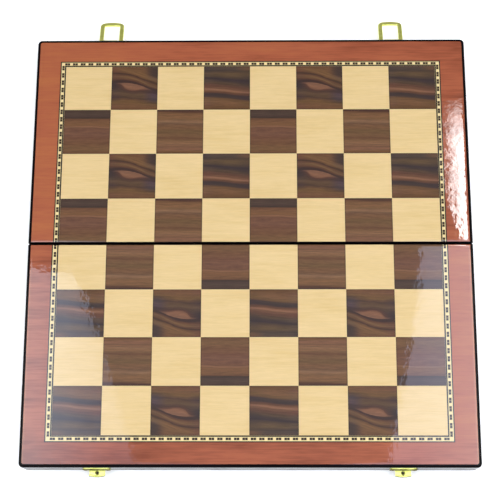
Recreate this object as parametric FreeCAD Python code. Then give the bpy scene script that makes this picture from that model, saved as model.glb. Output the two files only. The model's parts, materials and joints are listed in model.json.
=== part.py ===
import FreeCAD, Part
import math
import os

# Folding chess case, opened flat with the board side up. Sizes are in millimetres.
# Each half is drawn level in its own frame: x along the fold, y out from the fold axis, z up from the
# plane in which the two rims meet. It is then tilted, because the open case stands on its hinge knuckles
# and on its two outer rims.

# Case halves
case_width = 300.0
half_depth = 148.5
half_height = 22.0
panel_thickness = 5.0
wall_thickness = 8.0
top_edge_radius = 2.0
corner_radius = 3.0
small_edge_radius = 0.5
rim_clearance = 0.15
fold_clearance = 0.15

# Printed sheet in the playing face, and felt in the tray
sheet_thickness = 0.5
sheet_corner_radius = 1.5
sheet_fit = 0.05
print_border = 0.1
lining_thickness = 1.0
lining_fit = 0.2

# Butt hinges, their middles inset from the case's sides
hinge_inset = 55.0
hinge_length = 32.0
knuckle_radius = 2.0
knuckle_count = 5
hinge_pin_radius = 0.8
hinge_pin_gap = 0.3
leaf_thickness = 1.0
leaf_width = 7.4
leaf_fit = 0.1
running_fit = 0.04
moving_gap = 0.25

# Countersunk hinge screws
screws_per_leaf = 3
screw_pitch = 11.0
screw_head_radius = 1.9
screw_head_depth = 0.8
screw_radius = 1.0
screw_length = 8.0
screw_slot_width = 0.5
screw_slot_depth = 0.4
hole_fit = 0.03

# Draw latches on the far half, their middles inset from the case's sides. Reaches are from the wall's outer
# face, and heights from the rim plane.
latch_inset = 50.0
plate_thickness = 0.8
lever_pivot_height = 5.4
lever_pivot_reach = 3.2
lever_pin_radius = 0.7
base_bottom = 3.0
base_top_gap = 4.0
ear_thickness = 0.8
ear_radius = 1.4
ear_gap = 0.3
lever_width = 10.2
lever_sheet = 0.8
lever_length = 6.8
lever_bend_rise = 1.8
lever_lean = 2.5
lever_round = 2.0
lever_back_gap = 0.3
lever_lip_length = 0.9
lever_lip_flare = 0.25

# Bails, the loops of the latches
bail_pivot_height = 8.4
bail_pivot_reach = 2.4
bail_inner_width = 11.0
bail_strip_width = 3.0
bail_thickness = 1.4
bail_edge_radius = 0.4
bail_corner_radius = 3.6
bail_bow = 1.3
bail_inner_bow = 0.3
floor_clearance = 0.02

# Keepers on the near half
keeper_width = 17.7
keeper_height = 8.4
keeper_thickness = 0.9
keeper_corner_radius = 1.2
hook_width = 10.4
hook_reach = 5.3
hook_height = 2.9
hook_bend_radius = 1.4
hook_bow = 0.6
hook_hole_radius = 0.9
hook_hole_reach = 2.5
catch_height = 9.0
catch_clearance = 0.3

# Round-headed nails of the latches and keepers
nail_head_radius = 1.2
nail_head_height = 0.45
nail_radius = 0.6
nail_length = 6.0
base_nail_height = 9.6
base_nail_inset = 2.8
keeper_nail_height = 12.6

X = FreeCAD.Vector(1, 0, 0)
Y = FreeCAD.Vector(0, 1, 0)
Z = FreeCAD.Vector(0, 0, 1)
ORIGIN = FreeCAD.Vector(0, 0, 0)
SIDES = (("left", -1), ("right", 1))
nodes = {}


def box(x_range, y_range, z_range):
    """A block between two values along each axis."""
    corner = FreeCAD.Vector(x_range[0], y_range[0], z_range[0])
    return Part.makeBox(
        x_range[1] - x_range[0], y_range[1] - y_range[0], z_range[1] - z_range[0], corner
    )


def both_ways(half_width, centre=0.0):
    """The range that lies half_width to each side of centre."""
    return (centre - half_width, centre + half_width)


def rod(radius, x_range, y, z):
    """A round bar along x."""
    return Part.makeCylinder(radius, x_range[1] - x_range[0], FreeCAD.Vector(x_range[0], y, z), X)


def edges_where(shape, test):
    """The edges whose middle point passes the test."""
    found = []
    for edge in shape.Edges:
        middle = edge.valueAt((edge.FirstParameter + edge.LastParameter) / 2)
        if test(middle):
            found.append(edge)
    return found


def same(a, b):
    """True where two coordinates are equal but for rounding."""
    return abs(a - b) < 1e-4


def turned_about_z(profile):
    """A solid of revolution about the z axis, from its (radius, z) points."""
    points = [FreeCAD.Vector(r, 0, z) for r, z in profile]
    face = Part.Face(Part.makePolygon(points + points[:1]))
    return face.revolve(ORIGIN, Z, 360)


def at(shape, x, y, z=0.0):
    """A copy of the shape, moved."""
    shape = shape.copy()
    shape.translate(FreeCAD.Vector(x, y, z))
    return shape


# Sizes that follow from the ones above
half_width = case_width / 2
hinge_x = half_width - hinge_inset
latch_x = half_width - latch_inset
rim = rim_clearance
wall_top = half_height - panel_thickness
fold_face = fold_clearance
outer_face = half_depth
inner_front = outer_face - wall_thickness
inner_back = fold_face + wall_thickness
sheet_inset = top_edge_radius + print_border
fold_inset = small_edge_radius + print_border
flat_reach = outer_face - small_edge_radius
flat_rise = rim + small_edge_radius
tilt = math.asin((knuckle_radius - small_edge_radius) / math.hypot(flat_reach, flat_rise))
tilt += math.atan2(flat_rise, flat_reach)
tilt_degrees = math.degrees(tilt)


def placed(shape, half):
    """Puts a piece of the far or near half where it lies on the open case."""
    shape = shape.copy()
    shape.rotate(ORIGIN, X, -tilt_degrees)
    if half == "near":
        shape.rotate(ORIGIN, Z, 180)
    shape.translate(Z * knuckle_radius)
    return shape


def keep(name, shape, half):
    nodes[name] = placed(shape, half)


# Board panel: a flat board with a large radius on its three outer top edges and a small one at the fold
def rounded_board():
    board = box(both_ways(half_width), (fold_face, outer_face), (wall_top, half_height))
    corners = edges_where(
        board, lambda p: same(abs(p.x), half_width) and same(p.y, outer_face) and wall_top < p.z < half_height
    )
    board = board.makeFillet(corner_radius, corners)
    rounded = edges_where(board, lambda p: same(p.z, half_height) and not same(p.y, fold_face))
    board = board.makeFillet(top_edge_radius, rounded)
    fold_edges = edges_where(board, lambda p: same(p.y, fold_face) and p.z > wall_top + small_edge_radius)
    return board.makeFillet(small_edge_radius, fold_edges)


def sheet_block(inset_change):
    """The printed sheet's outline, larger or smaller by inset_change, as deep as the sheet."""
    side = half_width - sheet_inset + inset_change
    front = outer_face - sheet_inset + inset_change
    back = fold_face + fold_inset - inset_change
    block = box(both_ways(side), (back, front), (half_height - sheet_thickness, half_height))
    middle = half_height - sheet_thickness / 2
    corners = edges_where(
        block, lambda p: same(abs(p.x), side) and same(p.y, front) and same(p.z, middle)
    )
    return block.makeFillet(sheet_corner_radius, corners)


board_panel = rounded_board().cut(sheet_block(0.0))
printed_face = sheet_block(-sheet_fit)

# Walls: the outer wall and the hinge wall run the full width, and the side walls stand between them
outer_wall = box(both_ways(half_width), (inner_front, outer_face), (rim, wall_top))
outer_wall = outer_wall.makeFillet(
    corner_radius,
    edges_where(
        outer_wall, lambda p: same(abs(p.x), half_width) and same(p.y, outer_face) and rim < p.z < wall_top
    ),
)
outer_wall = outer_wall.makeFillet(
    small_edge_radius,
    edges_where(outer_wall, lambda p: same(p.z, rim) and p.y > inner_front and not same(p.y, inner_front)),
)

hinge_wall = box(both_ways(half_width), (fold_face, inner_back), (rim, wall_top))
hinge_wall = hinge_wall.makeFillet(
    small_edge_radius,
    edges_where(
        hinge_wall,
        lambda p: (same(p.y, fold_face) or same(abs(p.x), half_width))
        and p.z < wall_top - small_edge_radius
        and not same(p.y, inner_back),
    ),
)


def side_wall(sign):
    """A side wall with its small radius on the outer rim edge."""
    reach = sorted((sign * (half_width - wall_thickness), sign * half_width))
    wall = box(reach, (inner_back, inner_front), (rim, wall_top))
    edge = edges_where(wall, lambda p: same(p.x, sign * half_width) and same(p.z, rim))
    return wall.makeFillet(small_edge_radius, edge)


lining = box(
    both_ways(half_width - wall_thickness - lining_fit),
    (inner_back + lining_fit, inner_front - lining_fit),
    (wall_top - lining_thickness, wall_top),
)

# Hinges: rolled knuckles on the fold axis, and leaves let into the rims of the two hinge walls
knuckle_pitch = hinge_length / knuckle_count
screw_line = (knuckle_radius + moving_gap + leaf_width) / 2
relief = knuckle_radius + moving_gap


def knuckle_range(index, centre):
    start = centre - hinge_length / 2 + index * knuckle_pitch
    return (start + moving_gap / 2, start + knuckle_pitch - moving_gap / 2)


def screw_places(centre):
    first = centre - screw_pitch * (screws_per_leaf - 1) / 2
    return [(first + i * screw_pitch, screw_line) for i in range(screws_per_leaf)]


def countersunk(fit):
    """A screw pointing up from the rim, its head flush with the leaf. With a fit, the hole it sits in."""
    tip = rim + screw_length
    profile = [
        (0.0, rim),
        (screw_head_radius + fit, rim),
        (screw_radius + fit, rim + screw_head_depth),
        (screw_radius + fit, tip - screw_radius),
        (0.0, tip + fit),
    ]
    return turned_about_z(profile)


def hinge_screw():
    """A screw with a straight slot across its head."""
    slot = box(
        both_ways(screw_head_radius), both_ways(screw_slot_width / 2), (rim, rim + screw_slot_depth)
    )
    return countersunk(0.0).cut(slot)


def hinge_leaf(centre, own_first):
    """One leaf with its share of the knuckles: every second one, from own_first."""
    leaf_x = both_ways(hinge_length / 2, centre)
    leaf = box(leaf_x, (relief, leaf_width), (rim, rim + leaf_thickness))
    for index in range(own_first, knuckle_count, 2):
        span = knuckle_range(index, centre)
        leaf = leaf.fuse(rod(knuckle_radius, span, 0, 0))
        leaf = leaf.fuse(box(span, (0, relief), (rim, rim + leaf_thickness)))
    leaf = leaf.removeSplitter()
    leaf = leaf.cut(rod(hinge_pin_radius + running_fit, leaf_x, 0, 0))
    for x, y in screw_places(centre):
        leaf = leaf.cut(at(countersunk(hole_fit), x, y))
    return leaf


for side, sign in SIDES:
    centre = sign * hinge_x
    mortise_x = both_ways(hinge_length / 2 + leaf_fit, centre)
    mortise = box(mortise_x, (0, leaf_width + leaf_fit), (0, rim + leaf_thickness))
    hinge_wall = hinge_wall.cut(mortise)
    hinge_wall = hinge_wall.cut(box(mortise_x, (0, relief), (0, relief)))
    for x, y in screw_places(centre):
        hinge_wall = hinge_wall.cut(at(countersunk(hole_fit), x, y))
    keep("hinge_leaf_far_" + side, hinge_leaf(centre, 1), "far")
    keep("hinge_leaf_near_" + side, hinge_leaf(-centre, 0), "near")
    pin_x = both_ways(hinge_length / 2 + leaf_fit - hinge_pin_gap, centre)
    keep("hinge_pin_" + side, rod(hinge_pin_radius, pin_x, 0, 0), "far")

places = [place for side, sign in SIDES for place in screw_places(sign * hinge_x)]
screws = Part.makeCompound([at(hinge_screw(), x, y) for x, y in places])

# Nails: a low round head on a pointed shank, driven along -y into an outer wall
DOME_STEPS = 4


def nail():
    """The nail with its head's underside at the origin."""
    dome = []
    for step in range(DOME_STEPS + 1):
        turn = math.radians(90 * step / DOME_STEPS)
        dome.append((nail_head_radius * math.sin(turn), nail_head_height * math.cos(turn)))
    shank = [(nail_radius, 0.0), (nail_radius, nail_radius - nail_length), (0.0, -nail_length)]
    shape = turned_about_z(dome + shank)
    shape.rotate(ORIGIN, X, -90)
    return shape


def nail_hole():
    """The hole that a nail leaves in a plate and the wall behind it."""
    return Part.makeCylinder(nail_radius + hole_fit, 2 * nail_length, Y * -nail_length, Y)


# Draw latch: base plate with two ears, lever, pin, and the bail that hangs on the lever
lever_pivot_y = outer_face + lever_pivot_reach
bail_pivot_y = outer_face + bail_pivot_reach
lever_inner = lever_width / 2 - lever_sheet
ear_outer = lever_inner - ear_gap
web_inner = lever_pivot_y + ear_radius + lever_back_gap
web_outer = web_inner + lever_sheet
flange_back = outer_face + plate_thickness + lever_back_gap
lever_bend = lever_pivot_height + lever_bend_rise
lever_top = lever_pivot_height + lever_length
base_top = half_height - base_top_gap
base_nail_heights = (base_nail_height, base_top - base_nail_inset)


def plate_on_wall(width, height_range, thickness, corner):
    """A sheet metal plate on an outer wall, with rounded corners."""
    plate = box(both_ways(width / 2), (outer_face, outer_face + thickness), height_range)
    middle = outer_face + thickness / 2
    corners = edges_where(plate, lambda p: same(abs(p.x), width / 2) and same(p.y, middle))
    return plate.makeFillet(corner, corners)


def latch_base():
    plate = plate_on_wall(
        lever_width, (base_bottom, base_top), plate_thickness, plate_thickness
    )
    for sign in (-1, 1):
        span = sorted((sign * ear_outer, sign * (ear_outer - ear_thickness)))
        ear = box(
            span,
            (outer_face, lever_pivot_y),
            both_ways(ear_radius, lever_pivot_height),
        )
        ear = ear.fuse(rod(ear_radius, span, lever_pivot_y, lever_pivot_height))
        plate = plate.fuse(ear)
    plate = plate.removeSplitter()
    bore = rod(lever_pin_radius + running_fit, both_ways(lever_width), lever_pivot_y, lever_pivot_height)
    plate = plate.cut(bore)
    for height in base_nail_heights:
        plate = plate.cut(at(nail_hole(), 0, outer_face, height))
    return plate


def cross_piece(outline, x_range):
    """A piece with the same (y, z) outline all along x."""
    points = [FreeCAD.Vector(x_range[0], y, z) for y, z in outline]
    face = Part.Face(Part.makePolygon(points + points[:1]))
    return face.extrude(X * (x_range[1] - x_range[0]))


def inner_line(outer, thickness):
    """The line of a bent strip's inner face, from the (y, z) points of its outer face."""
    across = []
    for (y, z), (next_y, next_z) in zip(outer, outer[1:]):
        run = math.hypot(next_y - y, next_z - z)
        across.append(((z - next_z) / run, (next_y - y) / run))
    line = []
    for (y, z), before, after in zip(outer, across[:1] + across, across + across[-1:]):
        spread = 1 + before[0] * after[0] + before[1] * after[1]
        line.append(
            (
                y + thickness * (before[0] + after[0]) / spread,
                z + thickness * (before[1] + after[1]) / spread,
            )
        )
    return line


def lever():
    """A folded channel. Its web covers the ears, leans in to the plate, and ends in a small finger lip."""
    lean_end = web_outer - lever_lean
    outer = [
        (web_outer, lever_pivot_height),
        (web_outer, lever_bend),
        (lean_end, lever_top),
        (lean_end + lever_lip_flare, lever_top + lever_lip_length),
    ]
    inner = inner_line(outer, lever_sheet)
    shape = cross_piece(outer + inner[::-1], both_ways(lever_width / 2))
    foot = bail_pivot_height - lever_round
    side_outline = [
        (flange_back, foot),
        (web_outer, foot),
        outer[1],
        outer[2],
        inner[2],
        (flange_back, lever_top - lever_round),
    ]
    for sign in (-1, 1):
        span = sorted((sign * lever_inner, sign * lever_width / 2))
        flange = cross_piece(side_outline, span)
        corner = box(span, (lever_pivot_y, web_outer), (lever_pivot_height, lever_bend))
        knuckle = rod(lever_round, span, lever_pivot_y, lever_pivot_height)
        shape = shape.fuse([flange, corner, knuckle])
    shape = shape.removeSplitter()
    reach = both_ways(lever_width)
    shape = shape.cut(rod(lever_pin_radius + running_fit, reach, lever_pivot_y, lever_pivot_height))
    return shape.cut(rod(bail_thickness / 2 + running_fit, reach, bail_pivot_y, bail_pivot_height))


# The bail reaches from its pivot on the closed lever, past both rims, over the keeper's hook
bail_inner_length = bail_pivot_height + catch_height + catch_clearance + bail_inner_bow
bail_length = bail_inner_length + bail_strip_width
bail_half = bail_inner_width / 2 + bail_strip_width
bail_axis_inner = lever_inner + running_fit


def loop_plate(half, end, bow, corner):
    """A plate whose end is an arc, x across and y along from the pivot, as thick as the bail."""
    shoulder = end - bow
    arc = Part.Arc(
        FreeCAD.Vector(-half, shoulder, 0), FreeCAD.Vector(0, end, 0), FreeCAD.Vector(half, shoulder, 0)
    ).toShape()
    legs = Part.makePolygon(
        [
            FreeCAD.Vector(half, shoulder, 0),
            FreeCAD.Vector(half, 0, 0),
            FreeCAD.Vector(-half, 0, 0),
            FreeCAD.Vector(-half, shoulder, 0),
        ]
    )
    solid = Part.Face(Part.Wire([arc] + legs.Edges)).extrude(Z * bail_thickness)
    corners = edges_where(
        solid, lambda p: same(abs(p.x), half) and same(p.y, shoulder) and same(p.z, bail_thickness / 2)
    )
    return solid.makeFillet(corner, corners)


def bail():
    """The loop as it lies flat, pivot on the origin and its end towards y."""
    loop = loop_plate(bail_half, bail_length, bail_bow, bail_corner_radius)
    hole = loop_plate(
        bail_inner_width / 2, bail_inner_length, bail_inner_bow, bail_corner_radius - bail_strip_width
    )
    loop = loop.cut(hole)
    rims = edges_where(
        loop, lambda p: p.y > bail_thickness and not same(p.z, bail_thickness / 2)
    )
    loop = loop.makeFillet(bail_edge_radius, rims)
    loop.translate(Z * -bail_thickness / 2)
    for sign in (-1, 1):
        span = sorted((sign * bail_axis_inner, sign * bail_half))
        loop = loop.fuse(rod(bail_thickness / 2, span, 0, 0))
    return loop.removeSplitter()


# At rest the bail's end lies on the surface that the case stands on
pivot_rise = (
    knuckle_radius + bail_pivot_height * math.cos(tilt) - bail_pivot_y * math.sin(tilt)
)
end_reach = bail_length - bail_edge_radius
end_drop = bail_thickness / 2 - bail_edge_radius
bail_slope = math.asin(
    (pivot_rise - bail_edge_radius - floor_clearance) / math.hypot(end_reach, end_drop)
)
bail_slope -= math.atan2(end_drop, end_reach)
bail_rest_angle = 90 - math.degrees(bail_slope) + tilt_degrees
for side, sign in SIDES:
    centre = sign * latch_x
    keep("latch_base_" + side, at(latch_base(), centre, 0), "far")
    keep("latch_lever_" + side, at(lever(), centre, 0), "far")
    lever_pin = rod(
        lever_pin_radius, both_ways(lever_width / 2, centre), lever_pivot_y, lever_pivot_height
    )
    keep("lever_pin_" + side, lever_pin, "far")
    hanging = bail()
    hanging.rotate(ORIGIN, X, bail_rest_angle - 90)
    keep("latch_bail_" + side, at(hanging, centre, bail_pivot_y, bail_pivot_height), "far")

nail_lift = outer_face + plate_thickness
latch_nails = []
for side, sign in SIDES:
    for height in base_nail_heights:
        latch_nails.append(at(nail(), sign * latch_x, nail_lift, height))


# Keeper: a plate nailed to the near outer wall, and a hook bent out of its lower edge
def keeper():
    bottom = catch_height - keeper_thickness
    plate = plate_on_wall(
        keeper_width, (bottom, bottom + keeper_height), keeper_thickness, keeper_corner_radius
    )
    reach = hook_reach
    bend = hook_bend_radius
    inner = bend - keeper_thickness
    bow_radius = ((hook_width / 2) ** 2 + hook_bow**2) / (2 * hook_bow)
    offset = bow_radius - reach
    top = bottom + hook_height
    points = {
        "start": (offset, bottom),
        "bend_start": (offset + reach - bend, bottom),
        "bend_middle": (
            offset + reach - bend + bend * math.sin(math.pi / 4),
            bottom + bend - bend * math.cos(math.pi / 4),
        ),
        "bend_end": (offset + reach, bottom + bend),
        "lip_outer": (offset + reach, top),
        "lip_inner": (offset + reach - keeper_thickness, top),
        "inner_end": (offset + reach - keeper_thickness, bottom + bend),
        "inner_middle": (
            offset + reach - bend + inner * math.sin(math.pi / 4),
            bottom + bend - inner * math.cos(math.pi / 4),
        ),
        "inner_start": (offset + reach - bend, catch_height),
        "back": (offset, catch_height),
    }
    p = {name: FreeCAD.Vector(0, y, z) for name, (y, z) in points.items()}
    edges = [
        Part.makeLine(p["start"], p["bend_start"]),
        Part.Arc(p["bend_start"], p["bend_middle"], p["bend_end"]).toShape(),
        Part.makeLine(p["bend_end"], p["lip_outer"]),
        Part.makeLine(p["lip_outer"], p["lip_inner"]),
        Part.makeLine(p["lip_inner"], p["inner_end"]),
        Part.Arc(p["inner_end"], p["inner_middle"], p["inner_start"]).toShape(),
        Part.makeLine(p["inner_start"], p["back"]),
        Part.makeLine(p["back"], p["start"]),
    ]
    sweep = 2 * math.degrees(math.asin(hook_width / 2 / (bow_radius - hook_reach)))
    face = Part.Face(Part.Wire(edges))
    face.rotate(ORIGIN, Z, -sweep / 2)
    hook = face.revolve(ORIGIN, Z, sweep)
    hook.translate(Y * (outer_face - offset))
    hook = hook.common(
        box(both_ways(hook_width / 2), (outer_face, outer_face + 2 * hook_reach), (0, half_height))
    )
    shape = plate.fuse(hook).removeSplitter()
    hole = Part.makeCylinder(
        hook_hole_radius, half_height, FreeCAD.Vector(0, outer_face + hook_hole_reach, 0), Z
    )
    shape = shape.cut(hole)
    for sign in (-1, 1):
        shape = shape.cut(at(nail_hole(), sign * keeper_nail_x, outer_face, keeper_nail_height))
    return shape


keeper_nail_x = (keeper_width + hook_width) / 4
keeper_nails = []
for side, sign in SIDES:
    centre = sign * latch_x
    keep("keeper_" + side, at(keeper(), -centre, 0), "near")
    for end in (-1, 1):
        keeper_nails.append(
            at(nail(), centre + end * keeper_nail_x, outer_face + keeper_thickness, keeper_nail_height)
        )


def drilled(wall, spots):
    """The outer wall with the holes of its nails."""
    for x, height in spots:
        wall = wall.cut(at(nail_hole(), x, outer_face, height))
    return wall


far_spots = [
    (sign * latch_x, height) for side, sign in SIDES for height in base_nail_heights
]
near_spots = [
    (sign * latch_x + end * keeper_nail_x, keeper_nail_height)
    for side, sign in SIDES
    for end in (-1, 1)
]
keep("latch_nails", Part.makeCompound(latch_nails), "far")
keep("keeper_nails", Part.makeCompound(keeper_nails), "near")

for half, spots in (("far", far_spots), ("near", near_spots)):
    turn = 1 if half == "far" else -1
    keep(half + "_board_panel", board_panel, half)
    keep(half + "_printed_face", printed_face, half)
    keep(half + "_outer_wall", drilled(outer_wall, spots), half)
    keep(half + "_hinge_wall", hinge_wall, half)
    keep(half + "_left_wall", side_wall(-turn), half)
    keep(half + "_right_wall", side_wall(turn), half)
    keep(half + "_lining", lining, half)
    keep(half + "_hinge_screws", screws, half)

# The origin is under the middle of the whole object, on the surface that it stands on
footprint = Part.makeCompound(list(nodes.values())).optimalBoundingBox(False)
fold_y = -(footprint.YMin + footprint.YMax) / 2
os.makedirs("parts", exist_ok=True)
for name, shape in nodes.items():
    shape.translate(Y * fold_y)
    shape.exportStep("parts/" + name + ".step")
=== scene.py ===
import json
import math

import bmesh
import bpy
from mathutils import Matrix, Vector


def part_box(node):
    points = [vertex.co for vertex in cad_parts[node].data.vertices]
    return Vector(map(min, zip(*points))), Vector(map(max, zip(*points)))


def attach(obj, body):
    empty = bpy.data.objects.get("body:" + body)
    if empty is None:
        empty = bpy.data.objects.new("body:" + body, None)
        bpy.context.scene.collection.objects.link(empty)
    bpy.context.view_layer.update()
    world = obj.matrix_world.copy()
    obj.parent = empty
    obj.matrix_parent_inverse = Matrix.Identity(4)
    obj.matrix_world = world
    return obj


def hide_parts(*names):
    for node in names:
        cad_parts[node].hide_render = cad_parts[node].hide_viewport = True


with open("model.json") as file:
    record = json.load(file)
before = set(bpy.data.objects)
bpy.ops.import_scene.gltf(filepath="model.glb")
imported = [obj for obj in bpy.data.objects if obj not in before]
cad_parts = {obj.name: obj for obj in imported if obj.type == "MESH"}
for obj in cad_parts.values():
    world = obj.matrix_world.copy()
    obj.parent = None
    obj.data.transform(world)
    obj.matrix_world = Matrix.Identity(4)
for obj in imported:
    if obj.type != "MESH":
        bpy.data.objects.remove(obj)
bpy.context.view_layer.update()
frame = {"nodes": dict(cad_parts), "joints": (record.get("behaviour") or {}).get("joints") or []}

# Camera: a long lens that looks down steeply on the open case from the near side, a little turned. Its place
# is worked out in squares of the board, from where the middle of the board lies in the picture.
SQUARE = 0.0322
fold_joint = next(joint for joint in frame["joints"] if joint["name"] == "fold_hinge")
fold_axis = Vector(fold_joint["pos_m"])
board_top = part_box("far_board_panel")[1].z

camera_elevation = math.radians(73.82)
camera_roll = math.radians(2.86)
camera_pan = math.radians(-2.86)
board_middle = Vector((-0.0003, fold_axis.y, board_top))
middle_in_camera = Vector((-0.0526, -0.9025, -29.27)) * SQUARE
look = Matrix.Rotation(-camera_pan, 3, "Z") @ Matrix.Rotation(math.pi / 2 - camera_elevation, 3, "X")
lens = bpy.data.cameras.new("camera")
lens.lens = 100.8
lens.shift_y = -0.1
lens.clip_start = 0.05
camera = bpy.data.objects.new("camera", lens)
camera.matrix_world = Matrix.Translation(board_middle - look @ middle_in_camera) @ (
    look @ Matrix.Rotation(-camera_roll, 3, "Z")
).to_4x4()
bpy.context.scene.collection.objects.link(camera)
bpy.context.scene.camera = camera
bpy.context.scene.view_settings.view_transform = "Standard"


# Studio: a plain white table in a soft tent of light. The tent is bright low down all round and dim overhead,
# with two pale panels above, left and right, and a lamp strip, which the lacquer mirrors.
def linear(hex_colour):
    """An sRGB hex value as linear red, green, blue and alpha."""
    parts = [int(hex_colour[i : i + 2], 16) / 255 for i in (0, 2, 4)]
    return tuple(p / 12.92 if p <= 0.04045 else ((p + 0.055) / 1.055) ** 2.4 for p in parts) + (1.0,)


def add(tree, kind, inputs={}, **settings):
    """A node with its settings. Each input is a value, or a node or an output socket to link to it."""
    made = tree.nodes.new(kind)
    for name, value in settings.items():
        setattr(made, name, value)
    for key, value in inputs.items():
        if isinstance(value, bpy.types.Node):
            value = value.outputs[0]
        if isinstance(value, bpy.types.NodeSocket):
            tree.links.new(value, made.inputs[key])
        else:
            made.inputs[key].default_value = value
    return made


def make_piece(name, points, faces):
    """A new object from its points and faces, linked to the scene."""
    mesh = bpy.data.meshes.new(name)
    mesh.from_pydata([tuple(point) for point in points], [], faces)
    piece = bpy.data.objects.new(name, mesh)
    bpy.context.scene.collection.objects.link(piece)
    return piece


table_reach = 3.0
table = make_piece(
    "white_table",
    [(x * table_reach, y * table_reach, 0) for x, y in ((-1, -1), (1, -1), (1, 1), (-1, 1))],
    [(0, 1, 2, 3)],
)
white_paint = bpy.data.materials.new("matt_white_paint")
white_paint.use_nodes = True
tree = white_paint.node_tree
paint = tree.nodes["Principled BSDF"]
paint.inputs["Base Color"].default_value = linear("FAFAFA")
paint.inputs["Roughness"].default_value = 0.9
where = add(tree, "ShaderNodeSeparateXYZ", {0: add(tree, "ShaderNodeTexCoord").outputs["Object"]})
backlight = {"Value": where.outputs["Y"], "From Min": -0.172, "From Max": -0.15, "To Min": 0.06, "To Max": 0.36}
tree.links.new(add(tree, "ShaderNodeMapRange", backlight).outputs[0], paint.inputs["Emission Strength"])
paint.inputs["Emission Color"].default_value = linear("FFFFFF")
table.data.materials.append(white_paint)

tent = bpy.data.worlds.new("light_tent")
bpy.context.scene.world = tent
tent.use_nodes = True
sky = tent.node_tree
direction = add(sky, "ShaderNodeTexCoord")
height = add(sky, "ShaderNodeSeparateXYZ", {0: direction.outputs["Generated"]})
glow = add(
    sky,
    "ShaderNodeMapRange",
    {"Value": height.outputs["Z"], "From Min": 0.9, "From Max": 0.1, "To Min": 0.06, "To Max": 0.55},
    interpolation_type="SMOOTHSTEP",
)
sky.links.new(glow.outputs[0], sky.nodes["Background"].inputs["Strength"])
sky.nodes["Background"].inputs["Color"].default_value = linear("FAFBFF")

panel_height = 1.4
light_panels = {
    "left_panel": (
        (-0.206, -0.06), (-0.295, 0.215), (-0.32, 0.25), (-0.44, 0.272), (-1.3, 0.30), (-1.3, -0.9), (0.07, -0.9)
    ),
    "right_panel": ((0.207, -0.055), (0.262, 0.205), (0.266, 0.305), (1.3, 0.33), (1.3, -0.9), (0.01, -0.9)),
    "lamp_strip": (
        (0.350, 0.306), (0.340, 0.40), (0.318, 0.47), (0.304, 0.54), (0.306, 0.63), (0.356, 0.66), (0.356, 0.306)
    ),
}
glow_outward = {
    "left_panel": {"From Min": 0.25, "From Max": 0.37, "To Min": 2.05, "To Max": 5.4},
    "right_panel": {"From Min": 0.25, "From Max": 0.42, "To Min": 4.0, "To Max": 6.2},
    "lamp_strip": {"From Min": 0.315, "From Max": 0.342, "To Min": 0.5, "To Max": 27.0},
}
panel_tints = ((0.0, "B9C4E7"), (0.35, "D6E8F8"), (0.75, "FFFFFF"))
for name, outline in light_panels.items():
    light = make_piece(name, [(x, y, panel_height) for x, y in outline], [tuple(range(len(outline)))])
    shine = bpy.data.materials.new(name + "_light")
    shine.use_nodes = True
    tree = shine.node_tree
    emission = tree.nodes["Principled BSDF"]
    emission.inputs["Base Color"].default_value = (0, 0, 0, 1)
    emission.inputs["Specular IOR Level"].default_value = 0.0
    where = add(tree, "ShaderNodeSeparateXYZ", {0: add(tree, "ShaderNodeTexCoord").outputs["Object"]})
    outward = add(tree, "ShaderNodeMath", {0: where.outputs["X"]}, operation="ABSOLUTE")
    is_panel = "panel" in name
    strength = add(tree, "ShaderNodeMapRange", {"Value": outward, **glow_outward[name]})
    if not is_panel:
        fade = {"Value": where.outputs["Y"], "From Min": 0.65, "From Max": 0.57, "To Min": 0.02, "To Max": 1.0}
        strength = add(
            tree, "ShaderNodeMath", {0: strength, 1: add(tree, "ShaderNodeMapRange", fade)}, operation="MULTIPLY"
        )
    tree.links.new(strength.outputs[0], emission.inputs["Emission Strength"])
    distance = add(tree, "ShaderNodeMapRange", {"Value": outward, "From Min": 0.25, "From Max": 0.7})
    tint = add(tree, "ShaderNodeValToRGB", {"Fac": distance})
    stops = tint.color_ramp.elements
    stops.new(0.5)
    for stop, (position, colour) in zip(stops, panel_tints):
        stop.position = position
        stop.color = linear(colour if is_panel else "FFFFFF")
    tree.links.new(tint.outputs["Color"], emission.inputs["Emission Color"])
    light.data.materials.append(shine)


# Case walls: four lengths of fibreboard round each tray, butted and glued, with rounded outer corners. They are
# sprayed with black polyester lacquer and buffed: deep black, mirror-like, with the slow swell of orange peel.
def settle(piece):
    """Turns what the piece's modifiers show into its mesh."""
    shown = piece.evaluated_get(bpy.context.evaluated_depsgraph_get())
    mesh = bpy.data.meshes.new_from_object(shown)
    piece.modifiers.clear()
    old = piece.data
    piece.data = mesh
    bpy.data.meshes.remove(old)


def smooth_with_creases(piece, crease=30.0):
    """Smooth shading that stops at the creases and leaves the flats flat."""
    piece.data.shade_smooth()
    piece.data.set_sharp_from_angle(angle=math.radians(crease))
    even = piece.modifiers.new("even_shading", "WEIGHTED_NORMAL")
    even.keep_sharp = True
    even.weight = 100
    settle(piece)


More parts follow.
